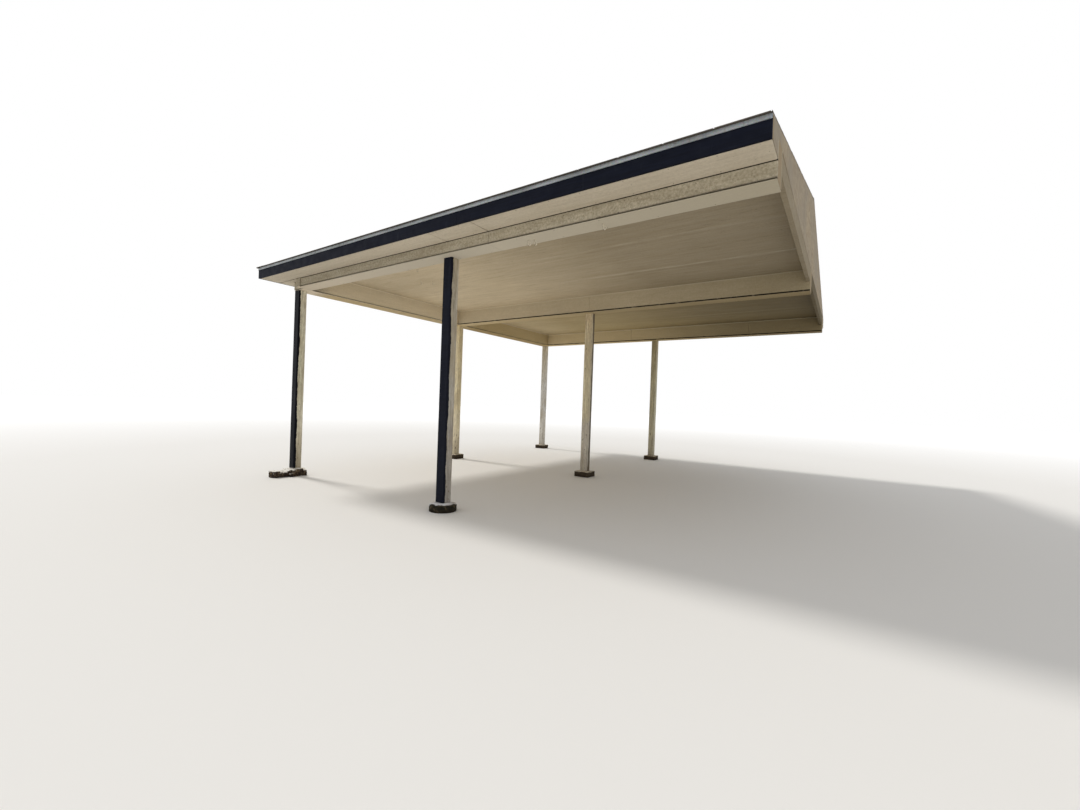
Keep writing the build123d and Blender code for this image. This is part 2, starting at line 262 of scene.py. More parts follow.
def ceiling_paint():
    """Beige paint on smooth board, with faint lengthwise roller marks, filled seams with a line of
    painted shade beside each, and painted shade towards the closed end and in the back bay.
    """
    base, dirt = srgb(229, 214, 186), srgb(212, 196, 165)
    paint = painted_boards("ceiling_paint", base, "x", dirt, rough_boards=0.3, streaky=0.6)
    look, colour, roughness, height = paint
    bands = look.noise(2.2, 4, (0.08, 1, 1), 0.5, shift=3)
    colour = look.mix(look.span(bands, 0.4, 0.62, 0, 0.14), colour, srgb(178, 162, 130))
    broken = look.span(look.noise(4, 4, (1, 1, 1), 0.6, shift=9), 0.4, 0.6, 0.35, 1)
    broken = look.times(broken, look.span(look.z, CEILING_Z - 0.004, CEILING_Z - 0.002))
    for first, second in CEILING_SEAMS.values():
        for y, strength in ((first, 0.4), (second, 0.7)):
            seen = look.times(look.span(look.x, 0.1, 1.2, 0.1, strength), broken)
            # A faint line of painted shade just beside each seam.
            seam_shadow = look.times(look.near(look.y, y + 0.07, 0.04), look.times(seen, 0.4))
            colour = look.mix(seam_shadow, colour, srgb(150, 134, 104))
            line = look.times(look.near(look.y, y, 0.034), seen)
            colour = look.mix(line, colour, srgb(250, 238, 212))
    colour = shade_towards_wall(look, colour)
    return look.finish(colour, roughness, height, 0.35, 0.0012)


def soffit_paint():
    """The same paint on the eaves, with lines of painted shade along the beams and painted shade
    towards the closed end and at the open end.
    """
    base, dirt = srgb(228, 218, 199), srgb(210, 199, 178)
    settings = {"rough_boards": 0.3, "streaky": 0.35, "seed": 6.0}
    paint = painted_boards("soffit_paint", base, "x", dirt, **settings)
    look, colour, roughness, height = paint
    for corner in (BEAM_FACE_Y, -BEAM_FACE_Y):
        # Painted shade: dark lines along the corners where the soffit meets the beams, fainter
        # towards the closed end.
        line = shade_line(look, look.y, corner, 0.007, corner)
        line = look.times(line, look.span(look.x, -1, 2.5, 1, 0.5))
        colour = look.mix(line, colour, srgb(52, 42, 30))
    # Painted shade towards the closed end and towards the open end.
    colour = deepen(look, colour, look.span(look.x, 0.5, WALL_X), srgb(244, 243, 242))
    colour = deepen(look, colour, look.span(look.x, 0.0, -1.6), grey(235))
    return look.finish(colour, roughness, height, 0.35, 0.0012)


def beam_paint(along):
    """A darker beige on the boards of the beams, lighter and yellower inside as painted light, with
    painted shade on the inner undersides, in the back bay, towards the closed end, under the soffit
    and in the open joints.
    """
    base, dirt = srgb(212, 203, 182), srgb(178, 167, 144)
    settings = {"rough_boards": 1.0, "streaky": 0.8, "seed": 2.0}
    paint = painted_boards(f"beam_paint_{along}", base, along, dirt, **settings)
    look, colour, roughness, height = paint
    underside = look.span(look.z, BEAM_BOTTOM + 0.0012, BEAM_BOTTOM + 0.0006)
    faces = look.span(look.z, FACE_BOTTOM - 0.002, FACE_BOTTOM - 0.001)
    front = look.span(look.y, -2.6, -2.8)
    inside = look.minus(1, front)
    # Painted light: the inner faces are lighter and yellower than the front.
    colour = look.mix(look.times(inside, 0.5), colour, srgb(250, 233, 200))
    # The front beam's bottom board takes a lighter tone of its own, more so towards the closed end.
    front_bottom = look.times(look.minus(1, faces), front)
    front_bottom_tone = look.mix(look.span(look.x, -2.6, 0.2), srgb(222, 208, 185), srgb(234, 225, 207))
    colour = look.mix(look.times(front_bottom, 0.85), colour, front_bottom_tone)
    # Painted highlight: a light strip on the edges of the inner bottom boards.
    between = look.minus(1, look.math("MAXIMUM", underside, faces))
    edge_highlight = look.times(inside, between)
    colour = look.mix(look.times(edge_highlight, 0.8), colour, srgb(255, 246, 222))
    # Painted shade on the undersides of the inner beams.
    under_tone = srgb(232, 224, 203) if along == "x" else srgb(216, 207, 184)
    colour = deepen(look, colour, look.times(inside, underside), under_tone)
    # Painted shade in the back bay.
    back_bay = look.span(look.y, -0.2, 0.4)
    bay_tone = srgb(242, 237, 221) if along == "x" else srgb(216, 208, 184)
    colour = deepen(look, colour, back_bay, bay_tone)
    if along == "x":
        # Painted shade in the back bay towards the closed end.
        far_corner = look.times(back_bay, look.span(look.x, 0, 1.6))
        colour = deepen(look, colour, far_corner, grey(220))
        # Painted shade on the faces near the open end, and on the front beam's underside there.
        open_end = look.times(look.span(look.y, 0.4, -0.1), look.span(look.x, 0.8, -0.4))
        colour = deepen(look, colour, look.times(open_end, faces), grey(238))
        under_end = look.times(open_end, look.times(front, underside))
        colour = deepen(look, colour, under_end, grey(238))
    bead = look.times(look.near(look.z, CEILING_Z, 0.016), inside)
    colour = look.mix(look.times(bead, 0.5), colour, srgb(255, 246, 224))
    # Painted shade: dark lines on the beams just under the soffit where it meets them, darker
    # towards the closed end.
    ends = look.span(look.math("ABSOLUTE", look.y), -BEAM_FACE_Y - 0.03, -BEAM_FACE_Y - 0.01)
    side = look.span(look.x, BEAM_SIDE_X + 0.03, BEAM_SIDE_X + 0.01)
    under_soffit = look.times(look.near(look.z, SOFFIT_Z, 0.008), look.math("MAXIMUM", ends, side))
    fading = look.span(look.x, -1.5, 2.5, 2, 1.6)
    strongest = look.span(look.x, 0.0, 2.0, 0.85, 1.0)
    soffit_gap_shade = look.math("MINIMUM", look.times(under_soffit, fading), strongest)
    colour = look.mix(soffit_gap_shade, colour, look.mix(strongest, srgb(52, 42, 30), srgb(30, 24, 18)))
    # Painted shade in the open joint above the bottom boards, weaker on the front beam and the side
    # beam.
    joint = shade_line(look, look.z, FACE_BOTTOM - REVEAL / 2, 0.011, 1.5)
    joint = look.times(joint, look.minus(1, underside))
    joint = look.times(joint, look.span(front, 0, 1, 1.0, 0.4) if along == "x" else 0.3)
    colour = look.mix(joint, colour, srgb(30, 23, 15))
    # Painted shade deepening towards the closed end on all but the front beam's front face.
    all_but_front_face = look.minus(1, look.times(front, faces))
    shaded = look.times(all_but_front_face, look.span(look.x, -1.6, WALL_X))
    colour = deepen(look, colour, shaded, look.mix(front, srgb(196, 193, 184), srgb(208, 205, 196)))
    return look.finish(colour, roughness, height, 0.6, 0.002)


# The cream paint of each post: its tone, its tone at the top and near the foot. Besides age they
# carry painted light and shade: the back inner post is darker as painted shade, the mid outer one
# yellower as painted sunlight.
POST_TONES = {
    "front_outer": (srgb(224, 221, 195), srgb(220, 215, 193), srgb(234, 229, 207)),
    "front_inner": (srgb(190, 186, 176), srgb(188, 178, 156), srgb(170, 166, 163)),
    "mid_outer": (srgb(248, 233, 191), srgb(237, 219, 173), srgb(248, 235, 202)),
    "mid_inner": (srgb(228, 216, 182), srgb(214, 194, 158), srgb(216, 208, 200)),
    "back_outer": (srgb(224, 226, 224), srgb(200, 188, 158), srgb(226, 224, 216)),
    "back_inner": (srgb(190, 184, 152), srgb(158, 144, 108), srgb(200, 195, 170)),
}


def post_colours(look, name, seed):
    """Cream paint with runs of dirt, a muddy foot and patches where bare grey wood shows."""
    middle, top, low = POST_TONES[name]
    colour = look.mix(look.span(look.z, 1.5, 2.4), middle, top)
    ragged = look.plus(look.z, look.span(look.noise(7, 4, (1, 1, 0.4)), 0.3, 0.7, -0.12, 0.12))
    colour = look.mix(look.span(ragged, 0.95, 0.8), colour, low)
    mottle = look.noise(34, 5, (1, 1, 0.4), 0.8, shift=seed + 1)
    colour = look.mix(look.span(mottle, 0.42, 0.72, 0, 0.45), colour, srgb(134, 122, 102))
    colour = look.mix(look.span(mottle, 0.46, 0.3, 0, 0.5), colour, lighter(middle))
    streaks = look.noise(70, 5, (1, 1, 0.045), 0.75, shift=seed + 6)
    colour = look.mix(look.span(streaks, 0.52, 0.64, 0, 0.55), colour, lighter(lighter(middle)))
    colour = look.mix(look.span(streaks, 0.48, 0.36, 0, 0.6), colour, srgb(110, 99, 82))
    runs = look.noise(22, 4, (1, 1, 0.06), 0.6, shift=seed)
    colour = look.mix(look.span(runs, 0.42, 0.75, 0, 0.7), colour, srgb(180, 168, 142))
    patches = look.noise(4, 5, (1, 1, 0.5), 0.6, shift=seed + 3)
    colour = look.mix(look.span(patches, 0.5, 0.72, 0, 0.6), colour, srgb(168, 152, 122))
    foot = look.times(look.span(look.z, 0.5, 0.08), look.span(patches, 0.3, 0.6))
    colour = look.mix(look.times(foot, 0.6), colour, srgb(134, 122, 104))
    flakes = look.noise(48, 3, (1, 1, 0.35), 0.6, shift=seed + 9)
    worn = look.plus(flakes, look.span(look.z, 0.9, 0.1, 0, 0.07))
    bare = look.span(worn, 0.68, 0.7)
    return look.mix(bare, colour, srgb(112, 100, 84)), bare


def post_paint(name, seed):
    """A post that is cream all over. The mid inner one is darker on the rear half of its side that
    faces the closed end.
    """
    look = Look(f"post_paint_{name}", specular=0.35)
    colour, bare = post_colours(look, name, seed)
    if name == "mid_inner":
        low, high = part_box(f"post_{name}")
        ragged = look.plus(look.y, look.span(look.noise(16, 4, (1, 1, 0.3)), 0.3, 0.7, -0.02, 0.02))
        rear = look.span(ragged, (low.y + high.y) / 2 - 0.006, (low.y + high.y) / 2 + 0.006)
        # Darker on the rear half of the side facing the closed end.
        dark_rear_half = look.times(look.span(look.x, high.x - 0.003, high.x - 0.001), rear)
        colour = look.mix(look.times(dark_rear_half, 0.9), colour, srgb(84, 72, 54))
    fibres = grain(look, "z")
    height = look.minus(fibres, look.times(bare, 0.5))
    roughness = look.span(look.noise(30, 3, (1, 1, 0.1)), 0.3, 0.7, 0.5, 0.7)
    return look.finish(colour, roughness, height, 0.5, 0.0018)


NAVY = srgb(13, 16, 27)


def navy_colour(look, seed=0.0):
    """Navy paint with faint brush marks, chalky wear and a little dust."""
    brush = look.noise(70, 3, (0.05, 1, 1), 0.6, shift=seed)
    colour = look.mix(look.span(brush, 0.35, 0.7), NAVY, srgb(19, 23, 37))
    worn = look.noise(5, 5, shift=seed + 5)
    return look.mix(look.span(worn, 0.58, 0.8, 0, 0.35), colour, srgb(40, 44, 52))


def front_post_paint(name, seed):
    """A cream post whose front face was painted navy by hand, lapping unevenly over the edges."""
    look = Look(f"front_post_paint_{name}", specular=0.08)
    cream, _ = post_colours(look, name, seed)
    lap = look.times(look.noise(4.2, 5, (0.3, 0.3, 0.8), 0.72, shift=seed), 0.062)
    drips = look.times(look.noise(45, 2, (1, 1, 0.25), shift=8), 0.008)
    edge = look.plus(look.plus(lap, drips), POST_FRONT.y - 0.007)
    navy = look.span(look.minus(edge, look.y), -0.0006, 0.0006)
    blue = navy_colour(look, 3.0)
    if name == "front_outer":
        blue = deepen(look, blue, 1, srgb(180, 180, 176))
    colour = look.mix(navy, cream, blue)
    fibres = grain(look, "z")
    height = look.plus(fibres, look.times(navy, 0.25))
    roughness = look.span(look.noise(30, 3, (1, 1, 0.1)), 0.3, 0.7, 0.42, 0.62)
    return look.finish(colour, roughness, height, 0.5, 0.0018)


def fascia_paint():
    look = Look("navy_paint", specular=0.08)
    colour = navy_colour(look)
    drips = look.noise(26, 3, (1, 1, 0.1), shift=6)
    colour = look.mix(look.span(drips, 0.66, 0.8, 0, 0.25), colour, srgb(60, 64, 70))
    fibres = grain(look, "x")
    roughness = look.span(look.noise(12, 4), 0.3, 0.7, 0.5, 0.68)
    return look.finish(colour, roughness, fibres, 0.4, 0.0015)


def zinc():
    """Dull zinc strip, chalky and a little stained below the laps."""
    look = Look("edge_metal", metallic=0.35, specular=0.4)
    spangle = look.cells(160, output="Color")
    patches = look.span(look.noise(3, 5), 0.35, 0.7)
    tone = look.mix(patches, srgb(184, 190, 192), srgb(146, 151, 152))
    colour = look.mix(0.12, tone, spangle, "OVERLAY")
    runs = look.noise(40, 3, (1, 1, 0.05))
    colour = look.mix(look.span(runs, 0.6, 0.78, 0, 0.6), colour, srgb(92, 90, 84))
    roughness = look.span(look.noise(18, 4), 0.3, 0.7, 0.42, 0.66)
    return look.finish(colour, roughness, look.noise(25, 4), 0.15, 0.001)


def limit_pale_top(look, facing, blotch, centre, distance):
    """Keeps the pale top, painted sunlight, all round the back, but only up to a distance on the
    side where the top is darker.
    """
    across = look.minus(look.x, centre.x)
    along = look.minus(look.y, centre.y)
    ahead = look.plus(look.times(across, DARKER_TOP_SIDE[0]), look.times(along, DARKER_TOP_SIDE[1]))
    squares = look.plus(look.times(across, across), look.times(along, along))
    reach = look.plus(look.math("SQRT", squares), look.span(blotch, 0.3, 0.7, -0.008, 0.008))
    beyond = look.span(reach, distance, distance + 0.005)
    darker_top = look.times(look.span(ahead, 0.01, 0.03), beyond)
    return look.times(facing, look.minus(1, darker_top))


def concrete(name, top, side, stained=0.75, cracked=0.0, rubbly=0.3, pale=None):
    """Old cast concrete: a trowelled top, pale as painted sunlight, darker sides as painted shade,
    damp and dirt near the ground.
    """
    look = Look(name, roughness=0.9, specular=0.1)
    sand = look.noise(190, 3)
    blotch = look.noise(9, 5, roughness=0.65)
    facing = look.span(look.normal()[2], 0.25, 0.6)
    if pale:
        facing = limit_pale_top(look, facing, blotch, *pale)
    stain = look.times(look.span(blotch, 0.38, 0.66, 0, stained), facing)
    rubble = look.noise(26, 5, roughness=0.75, shift=3)
    colour = look.mix(look.span(blotch, 0.35, 0.65), side, lighter(side))
    colour = look.mix(look.span(rubble, 0.54, 0.64, 0, rubbly), colour, srgb(148, 130, 102))
    colour = look.mix(look.span(rubble, 0.44, 0.36, 0, rubbly), colour, srgb(18, 15, 12))
    # Upward faces take the top colour as painted sunlight; the rest keep the darker side colour as
    # painted shade.
    colour = look.mix(facing, colour, top)
    colour = look.mix(stain, colour, srgb(104, 94, 80))
    colour = look.mix(look.span(sand, 0.35, 0.65, 0, 0.3), colour, srgb(176, 168, 152), "OVERLAY")
    cracks = look.cells(11, (1, 1, 0.7), feature="DISTANCE_TO_EDGE")
    colour = look.mix(look.span(cracks, 0.03, 0.01, 0, cracked), colour, srgb(84, 74, 62))
    damp = look.times(look.span(look.z, 0.05, 0.0), look.span(blotch, 0.2, 0.55))
    colour = look.mix(look.times(damp, 0.8), colour, srgb(44, 37, 30))
    pits = look.cells(120)
    height = look.plus(look.times(sand, 0.7), look.span(pits, 0.0, 0.25, 0, 0.5))
    height = look.plus(height, blotch)
    return look.finish(colour, look.span(blotch, 0.3, 0.7, 0.82, 0.96), height, 0.7, 0.004)


def shingle_look():
    """Mineral granules on asphalt, each tab a little lighter or darker, with dark runs of algae."""
    look = Look("shingle", roughness=0.92, specular=0.2)
    shade = look.attribute("shade")
    granules = look.noise(420, 2, roughness=0.7)
    colour = look.mix(shade, srgb(78, 74, 70), srgb(132, 126, 118))
    pale = look.span(granules, 0.36, 0.64, 0, 0.8)
    colour = look.mix(pale, colour, srgb(176, 168, 156), "OVERLAY")
    dark = look.cells(330)
    colour = look.mix(look.span(dark, 0.1, 0.35, 0.55, 0), colour, srgb(40, 38, 38))
    algae = look.noise(1.1, 5, (1, 1, 1), 0.6, shift=2)
    colour = look.mix(look.span(algae, 0.5, 0.72, 0, 0.6), colour, srgb(54, 52, 50))
    return look.finish(colour, None, look.plus(granules, dark), 0.8, 0.0015)


def raw_board(name, along, base, dark, fresh_end=False):
    """Raw softwood that never sees the weather, newly sawn at the closed end if asked for."""
    look = Look(name, roughness=0.8, specular=0.2)
    fibres = grain(look, along)
    rings = look.noise(12, 4, (0.05, 1, 1) if along == "x" else (1, 0.05, 1), 0.7, warp=0.4)
    colour = look.mix(look.span(fibres, 0.3, 0.7), base, dark)
    colour = look.mix(look.span(rings, 0.45, 0.6, 0, 0.5), colour, dark)
    if fresh_end:
        inside = look.span(look.x, WALL_X - 0.001, WALL_X - 0.002)
        colour = look.mix(inside, srgb(152, 134, 106), colour)
    return look.finish(colour, None, fibres, 0.5, 0.0015)


def strand_board():
    """Sheathing pressed from flat strands of wood that lie every way."""
    look = Look("strand_board", roughness=0.75, specular=0.25)
    long_strands = look.cells(34, (1, 0.35, 1.2), output="Color")
    cross_strands = look.cells(34, (1, 1.2, 0.35), output="Color")
    tones = look.add("ShaderNodeSeparateColor", {0: long_strands}).outputs
    other = look.add("ShaderNodeSeparateColor", {0: cross_strands}).outputs
    pick = look.math("GREATER_THAN", tones[1], 0.5)
    first = look.mix(tones[0], srgb(182, 162, 128), srgb(142, 120, 90))
    second = look.mix(other[0], srgb(190, 172, 138), srgb(152, 130, 98))
    colour = look.mix(pick, first, second)
    weather = look.noise(1.5, 5)
    colour = look.mix(look.span(weather, 0.35, 0.65, 0.35, 0.85), colour, srgb(140, 131, 116))
    height = look.plus(tones[0], look.noise(90, 3))
    return look.finish(colour, None, height, 0.35, 0.0012)


def nail_steel():
    look = Look("nail_heads", roughness=0.6, metallic=0.4)
    tone = look.noise(140, 3)
    colour = look.mix(look.span(tone, 0.35, 0.65), srgb(120, 104, 84), srgb(88, 62, 42))
    return look.finish(colour, None, tone, 0.3, 0.0005)


def hook_paint():
    """Small hooks painted over with the ceiling, with painted shade on the sides that face the open
    end.
    """
    look = Look("painted_hooks", roughness=0.6)
    # Painted shade: dark on the sides facing the open end, light on the rest.
    tone = look.plus(look.normal()[0], look.span(look.noise(140, 3), 0.3, 0.7, -0.2, 0.2))
    colour = look.mix(look.span(tone, -0.1, 0.3), srgb(92, 78, 58), srgb(244, 234, 212))
    return look.finish(colour, None, tone, 0.3, 0.0005)


LOOKS = {
    "ceiling": ceiling_paint(),
    "beam_x": beam_paint("x"),
    "beam_y": beam_paint("y"),
    "soffit": soffit_paint(),
    "fascia": fascia_paint(),
    "zinc": zinc(),
    # Each concrete's first colour is its top, pale as painted sunlight, and its second its sides,
    # dark as painted shade.
    "kerb": concrete("kerb_concrete", srgb(250, 247, 240), srgb(60, 49, 42),
                     stained=0.05, cracked=0.5, rubbly=0.9),
    "collar": concrete("collar_concrete", srgb(240, 240, 242), srgb(40, 38, 30),
                       stained=0.4, cracked=0.3, rubbly=0.4, pale=COLLAR_PALE),
    "pad": concrete("pad_concrete", srgb(220, 212, 196), srgb(64, 55, 45),
                    stained=0.35, cracked=0.2),
    "shingle": shingle_look(),
    "timber_x": raw_board("timber_x", "x", srgb(150, 120, 80), srgb(104, 78, 48)),
    "timber_y": raw_board("timber_y", "y", srgb(150, 120, 80), srgb(104, 78, 48)),
    # The cores of the beams are nearly black and dark brown timber: painted shade that shows through
    # the open joints of the casings. The sub-fascia takes the same.
    "beam_core": raw_board("beam_core", "x", srgb(26, 21, 16), srgb(14, 11, 8), True),
    "front_beam_core": raw_board("beam_core", "x", srgb(74, 64, 50), srgb(54, 46, 36), True),
    "side_beam_core": raw_board("side_beam_core", "y", srgb(124, 106, 80), srgb(92, 78, 56)),
    "strands": strand_board(),
    "nails": nail_steel(),
    "hooks": hook_paint(),
}
FRONT_POSTS = ("front_outer", "front_inner")
for seed, post in enumerate(POST_TONES):
    paint = front_post_paint if post in FRONT_POSTS else post_paint
    LOOKS[f"post_{post}"] = paint(post, seed * 2.7)


def finish_piece(name, mesh, look, replaces=()):
    """Makes a piece from a bmesh, gives it its look and lets it stand for CAD nodes."""
    data = bpy.data.meshes.new(name)
    mesh.to_mesh(data)
    mesh.free()
    piece = bpy.data.objects.new(name, data)
    bpy.context.scene.collection.objects.link(piece)
    data.materials.append(LOOKS[look])
    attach(piece, "root")
    if replaces:
        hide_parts(*replaces)
    return piece


def dress(node, look):
    """A CAD node that keeps its own shape gets a better material."""
    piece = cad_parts[node]
    piece.data.materials.clear()
    piece.data.materials.append(LOOKS[look])


def clean_copy(node):
    """The solids of a CAD node as a mesh with whole faces and joined corners."""
    mesh = bmesh.new()
    mesh.from_mesh(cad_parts[node].data)
    bmesh.ops.remove_doubles(mesh, verts=mesh.verts, dist=1e-5)
    bmesh.ops.dissolve_limit(mesh, angle_limit=math.radians(1), verts=mesh.verts, edges=mesh.edges)
    return mesh


AXES = {"x": Vector((1, 0, 0)), "y": Vector((0, 1, 0)), "z": Vector((0, 0, 1))}


def keep_side(mesh, axis, place, sign):
    """Cuts a closed mesh at a plane and closes it again, keeping the side that sign points to."""
    every = mesh.verts[:] + mesh.edges[:] + mesh.faces[:]
    bmesh.ops.bisect_plane(mesh, geom=every, plane_co=AXES[axis] * place,
                           plane_no=AXES[axis] * sign, clear_inner=True)
    bmesh.ops.holes_fill(mesh, edges=[e for e in mesh.edges if e.is_boundary])
    return mesh


def join(meshes):
    """One bmesh with all the given ones in it."""
    whole = bmesh.new()
    for mesh in meshes:
        data = bpy.data.meshes.new("part")
        mesh.to_mesh(data)
        mesh.free()
        whole.from_mesh(data)
        bpy.data.meshes.remove(data)
    return whole


def islands(mesh):
    """The vertices of each separate solid, in the mesh's own order so that every run agrees."""
    left = dict.fromkeys(mesh.verts)
    while left:
        group, edge = set(), [next(iter(left))]
        while edge:
            vertex = edge.pop()
            if vertex not in group:
                group.add(vertex)
                edge += [e.other_vert(vertex) for e in vertex.link_edges]
        for vertex in group:
            del left[vertex]
        yield group


def boards(node, look, cuts=(), gap=0.0025, edge=0.002, loose=0.0006, shrink=(0, 0, 0), seed=1):
    """A CAD node as real boards: sawn apart at each cut, with eased edges, none quite in line."""
    parts = [clean_copy(node)]
    for axis, place in cuts:
        halves = []
        for mesh in parts:
            halves.append(keep_side(mesh.copy(), axis, place - gap / 2, -1))
            halves.append(keep_side(mesh, axis, place + gap / 2, 1))
        parts = [mesh for mesh in halves if mesh.verts]
    mesh = join(parts)
    chance = random.Random(seed)
    for group in islands(mesh):
        shift = Vector([chance.uniform(-loose, loose) for _ in range(3)])
        low = [min(v.co[i] for v in group) for i in range(3)]
        high = [max(v.co[i] for v in group) for i in range(3)]
        for vertex in group:
            for i in range(3):
                middle, half = (low[i] + high[i]) / 2, (high[i] - low[i]) / 2
                vertex.co[i] = middle + (vertex.co[i] - middle) * (1 - shrink[i] / half)
            vertex.co += shift
    sharp = [e for e in mesh.edges if e.is_manifold and e.calc_face_angle(0) > 0.3]
    bmesh.ops.bevel(mesh, geom=sharp, offset=edge, segments=2, profile=0.5,
                    affect="EDGES", clamp_overlap=True)
    return finish_piece(f"{node}_boards", mesh, look, [node])


def rough_concrete(node, look, cell, depth, chip, seed, step=0.0):
    """A footing worn inwards from its CAD solid: uneven faces, chipped edges and a stepped top."""
    mesh = clean_copy(node)
    data = bpy.data.meshes.new(node)
    mesh.to_mesh(data)
    mesh.free()
    source = bpy.data.objects.new(node + "_source", data)
    bpy.context.scene.collection.objects.link(source)
    remesh = source.modifiers.new("cells", "REMESH")
    remesh.mode = "VOXEL"
    remesh.voxel_size = cell
    graph = bpy.context.evaluated_depsgraph_get()
    shape = bpy.data.meshes.new_from_object(source.evaluated_get(graph))
    bpy.data.objects.remove(source)
    mesh = bmesh.new()
    mesh.from_mesh(shape)
    offset = Vector((seed * 3.1, seed * 1.7, seed * 0.9))
    mesh.normal_update()
    moves = []
    for vertex in mesh.verts:
        broad = noise.fractal(vertex.co * 9 + offset, 1.0, 2.0, 4)
        fine = noise.fractal(vertex.co * 60 + offset, 0.9, 2.0, 3)
        bend = 1 - min(1, abs(sum((e.calc_face_angle(0) for e in vertex.link_edges)) / 3))
        broken = max(0, noise.noise(vertex.co * 22 + offset) - 0.1) * chip * (1 - bend) * 6
        inward = depth * (0.5 + 0.5 * broad) + depth * 0.25 * fine + broken
        moves.append((vertex, -vertex.normal * max(0, inward)))
    top = max(vertex.co.z for vertex in mesh.verts)
    for vertex, move in moves:
        if vertex.co.z < cell:
            move.z = 0
        broken_off = max(0, noise.cell(Vector((vertex.co.x, vertex.co.y, 0)) * 11 + offset))
        move.z -= step * broken_off * max(0, vertex.co.z - top / 2) / (top / 2)
        vertex.co += move
        vertex.co.z = max(vertex.co.z, 0)
    for face in mesh.faces:
        face.smooth = True
    bpy.data.meshes.remove(shape)
    return finish_piece(f"{node}_concrete", mesh, look, [node])


# Roof covering
EXPOSURE = 0.143
TAB = 0.305
TAB_SLOT = 0.007
SHINGLE = 0.0035
SAG = 0.0015
COURSE_STEP = EXPOSURE / math.sqrt(1 + PITCH**2)
LAP = COURSE_STEP * 1.9


def clip(points, distance):
    """The part of a polygon where a signed distance is positive."""
    kept = []
    for here, there in zip(points, points[1:] + points[:1]):
        a, b = distance(here), distance(there)
        if a >= 0:
            kept.append(here)
        if (a >= 0) != (b >= 0):
            kept.append(here.lerp(there, a / (a - b)))
    return kept


def add_slab(mesh, layer, top, thickness, shade):
    """A thin closed slab under a polygon, with one shade for all of it."""
    if len(top) < 3:
        return
    upper = [mesh.verts.new(p) for p in top]
    lower = [mesh.verts.new(p - AXES["z"] * thickness) for p in top]
    for vertex in upper + lower:
        vertex[layer] = shade
    mesh.faces.new(upper)
    mesh.faces.new(lower[::-1])
    for i in range(len(top)):
        j = (i + 1) % len(top)
        mesh.faces.new((upper[j], upper[i], lower[i], lower[j]))


def slope_frame(side):
    """Corner, direction along the eave, direction up the slope and width of one slope."""
    if side == "outer":
        return Vector((EAVE_X, -RUN, 0)), AXES["y"], AXES["x"], 2 * RUN
    turn = 1 if side == "front" else -1
    return Vector((EAVE_X, -RUN * turn, 0)), AXES["x"], AXES["y"] * turn, WALL_X - EAVE_X


def shingle_slope(side, seed):
    """Courses of three-tab shingles on one slope, each lapped over the one below it."""
    corner, along, up, width = slope_frame(side)
    chance = random.Random(seed)
    mesh = bmesh.new()
    layer = mesh.verts.layers.float.new("shade")

    def place(u, v, height):
        point = corner + along * u + up * v
        point.z = EAVE_Z + PITCH * v + height
        return point

    def inside(points):
        """Trims a tab, given as (u, v, height), to the hips, the ridge and the closed end."""
        points = clip(points, lambda p: p.x - p.y)
        points = clip(points, lambda p: RUN - p.y)
        if side == "outer":
            return clip(points, lambda p: width - p.y - p.x)
        return clip(points, lambda p: width - p.x)

    courses = int(RUN / COURSE_STEP) + 1
    for course in range(-1, courses):
        starter = course < 0
        low = max(0, course) * COURSE_STEP
        piece = TAB * 3 if starter else TAB
        u = -piece + (course % 2) * TAB / 2 + chance.uniform(-0.01, 0.01)
        while u < width:
            sag = chance.uniform(-SAG, SAG)
            slot = 0.001 if starter else TAB_SLOT
            lift = 0.0 if starter else 1.5 * SHINGLE
            corners = [(u + slot / 2, low + sag), (u + piece - slot / 2, low + sag * 0.5)]
            tab = [Vector((a, max(b, 0), lift + SHINGLE)) for a, b in corners]
            top = low + LAP
            tab += [Vector((a, top, SHINGLE)) for a, b in reversed(corners)]
            outline = [place(p.x, p.y, p.z) for p in inside(tab)]
            if up.cross(along).z > 0:
                outline.reverse()
            shade = 0.2 if starter else min(1, max(0, chance.gauss(0.5, 0.17)))
            add_slab(mesh, layer, outline, SHINGLE, shade)
            u += piece
    return finish_piece(f"shingle_courses_{side}", mesh, "shingle", [f"shingles_{side}"])


CAP_HALF = 0.125
CAP_LENGTH = 0.29
FIRST_CAP_LIFT, CAP_LIFT, CAP_HEAD_LIFT = 0.012, 0.0135, 0.0095
RIDGE_OVER_HIPS = 0.08


def cap_row(mesh, layer, start, end, wings, chance):
    """Cap shingles bent over one line of the roof, from its low end to its high end."""
    direction = (end - start).normalized()
    count = int((end - start).length / EXPOSURE)
    for i in range(count + 1):
        shade = min(1, max(0, chance.gauss(0.55, 0.2)))
        low = start + direction * (i * EXPOSURE)
        high = start + direction * min(i * EXPOSURE + CAP_LENGTH, (end - start).length)
        low_lift = AXES["z"] * (CAP_LIFT if i else FIRST_CAP_LIFT)
        high_lift = AXES["z"] * CAP_HEAD_LIFT
        for wing, flip in zip(wings, (False, True)):
            foot, head = low + low_lift, high + high_lift
            quad = [foot, foot + wing, head + wing, head]
            quad = clip(quad, lambda p: p.x - EAVE_X)
            quad = clip(quad, lambda p: RUN - abs(p.y))
            quad = clip(quad, lambda p: WALL_X - p.x)
            if flip:
                quad.reverse()
            add_slab(mesh, layer, quad, SHINGLE, shade)


